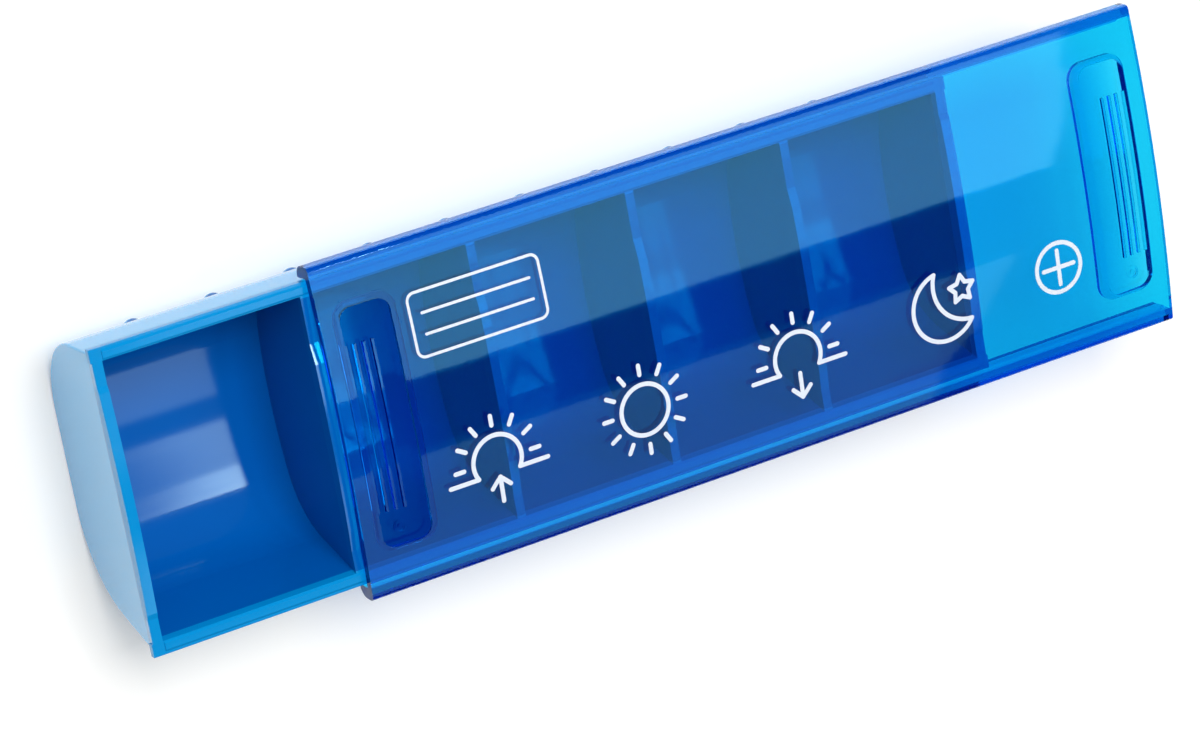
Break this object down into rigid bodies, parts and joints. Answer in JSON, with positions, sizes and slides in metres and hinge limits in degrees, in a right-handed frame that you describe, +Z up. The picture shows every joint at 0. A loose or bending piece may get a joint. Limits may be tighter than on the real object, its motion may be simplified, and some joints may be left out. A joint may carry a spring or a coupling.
{
  "type": "daily pill organizer",
  "caption": "Open-topped divided tray with rounded trough walls and an arched tinted clear cover that slides along its rims, printed with time-of-day symbols.",
  "frame": {"origin": "on the tray's flat underside, midway between its ends and its rims", "axes": "+X along the tray towards the side the cover is slid to, +Y towards the steep back wall, +Z up"},
  "size_m": [0.1848, 0.0541, 0.0254],
  "materials": {
    "tray_plastic": "semi-gloss moulded plastic, opaque azure blue",
    "cover_plastic": "polished clear plastic, tinted blue",
    "print_ink": "white ink"
  },
  "bodies": {
    "tray": {"tray": "tray_plastic"},
    "cover": {"sliding_cover": "cover_plastic", "sunrise_print": "print_ink", "sun_print": "print_ink", "sunset_print": "print_ink", "moon_star_print": "print_ink", "plus_print": "print_ink", "name_field_print": "print_ink"}
  },
  "joints": [
    {"name": "cover_slide", "type": "slide", "parent": "tray", "child": "cover", "axis": [1, 0, 0], "range_m": [-0.1551, 0.084]}
  ]
}
